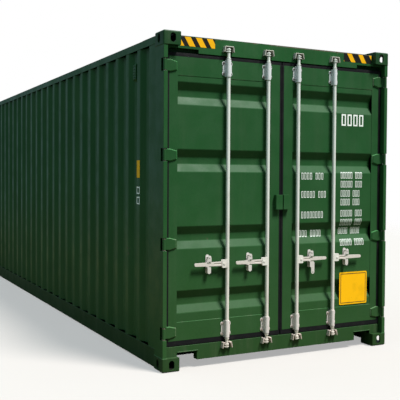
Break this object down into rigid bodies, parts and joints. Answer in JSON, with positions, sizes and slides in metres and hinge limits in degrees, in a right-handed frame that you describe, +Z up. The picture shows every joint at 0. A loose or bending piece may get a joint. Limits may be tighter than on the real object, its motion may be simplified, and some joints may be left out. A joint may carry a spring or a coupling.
{
  "type": "shipping container",
  "caption": "High-cube dry-freight shipping container with corrugated walls, two hinged door leaves, lock bars with cams and handles, and apertured corner castings.",
  "frame": {"origin": "centre of the footprint at ground level, under the four bottom corner castings", "axes": "+X along the container towards the door end, +Y to the right seen from in front of the doors, +Z up"},
  "size_m": [12.192, 2.438, 2.896],
  "materials": {
    "container_paint": "semi-gloss green paint on steel",
    "underframe_paint": "matt black wax over paint",
    "galvanised_steel": "dull hot-dip zinc",
    "door_rubber": "matt black extruded rubber",
    "plywood": "varnished hardwood plywood"
  },
  "bodies": {
    "root": {"bottom_corner_castings": "container_paint", "top_corner_castings": "container_paint", "door_corner_posts": "container_paint", "door_jamb_channels": "container_paint", "door_header": "container_paint", "door_sill": "container_paint", "front_corner_posts": "container_paint", "front_sill": "container_paint", "front_top_rail": "container_paint", "top_side_rails": "container_paint", "bottom_side_rails": "container_paint", "left_side_wall": "container_paint", "right_side_wall": "container_paint", "front_wall": "container_paint", "roof": "container_paint", "roof_corner_plates": "container_paint", "cross_members": "underframe_paint", "gooseneck_tunnel": "underframe_paint", "plywood_floor": "plywood", "side_vents": "container_paint", "hinge_lugs": "container_paint", "cam_keepers": "galvanised_steel"},
    "left_door": {"left_door_frame": "container_paint", "left_door_panel": "container_paint", "left_door_gasket": "door_rubber", "left_door_hinges": "container_paint", "left_lock_box_half": "container_paint", "left_bar_brackets": "galvanised_steel", "left_handle_retainers": "galvanised_steel"},
    "left_inner_bar": {"left_inner_lock_bar": "galvanised_steel", "left_inner_handle": "galvanised_steel"},
    "left_inner_catch": {"left_inner_catch": "galvanised_steel"},
    "left_outer_bar": {"left_outer_lock_bar": "galvanised_steel", "left_outer_handle": "galvanised_steel"},
    "left_outer_catch": {"left_outer_catch": "galvanised_steel"},
    "right_door": {"right_door_frame": "container_paint", "right_door_panel": "container_paint", "right_door_gasket": "door_rubber", "right_door_hinges": "container_paint", "right_lock_box_half": "container_paint", "right_bar_brackets": "galvanised_steel", "right_handle_retainers": "galvanised_steel"},
    "right_inner_bar": {"right_inner_lock_bar": "galvanised_steel", "right_inner_handle": "galvanised_steel"},
    "right_inner_catch": {"right_inner_catch": "galvanised_steel"},
    "right_outer_bar": {"right_outer_lock_bar": "galvanised_steel", "right_outer_handle": "galvanised_steel"},
    "right_outer_catch": {"right_outer_catch": "galvanised_steel"}
  },
  "joints": [
    {"name": "left_door_swing", "type": "hinge", "parent": "root", "child": "left_door", "pos_m": [6.075, -1.198, 1.4705], "axis": [0, 0, -1], "range_deg": [0, 265]},
    {"name": "left_inner_bar_turn", "type": "hinge", "parent": "left_door", "child": "left_inner_bar", "pos_m": [6.069, -0.165, 1.4705], "axis": [0, 0, -1], "range_deg": [-110, 0]},
    {"name": "left_inner_catch_swing", "type": "hinge", "parent": "left_door", "child": "left_inner_catch", "pos_m": [6.0875, -0.351, 0.962], "axis": [1, 0, 0], "range_deg": [-100, 0]},
    {"name": "left_outer_bar_turn", "type": "hinge", "parent": "left_door", "child": "left_outer_bar", "pos_m": [6.069, -0.58, 1.4705], "axis": [0, 0, -1], "range_deg": [-110, 0]},
    {"name": "left_outer_catch_swing", "type": "hinge", "parent": "left_door", "child": "left_outer_catch", "pos_m": [6.0875, -0.766, 0.962], "axis": [1, 0, 0], "range_deg": [-100, 0]},
    {"name": "right_door_swing", "type": "hinge", "parent": "root", "child": "right_door", "pos_m": [6.075, 1.198, 1.4705], "axis": [0, 0, 1], "range_deg": [0, 265]},
    {"name": "right_inner_bar_turn", "type": "hinge", "parent": "right_door", "child": "right_inner_bar", "pos_m": [6.069, 0.165, 1.4705], "axis": [0, 0, 1], "range_deg": [-110, 0]},
    {"name": "right_inner_catch_swing", "type": "hinge", "parent": "right_door", "child": "right_inner_catch", "pos_m": [6.0875, 0.322, 0.962], "axis": [-1, 0, 0], "range_deg": [-100, 0]},
    {"name": "right_outer_bar_turn", "type": "hinge", "parent": "right_door", "child": "right_outer_bar", "pos_m": [6.069, 0.58, 1.4705], "axis": [0, 0, 1], "range_deg": [-110, 0]},
    {"name": "right_outer_catch_swing", "type": "hinge", "parent": "right_door", "child": "right_outer_catch", "pos_m": [6.0875, 0.737, 0.962], "axis": [-1, 0, 0], "range_deg": [-100, 0]}
  ]
}
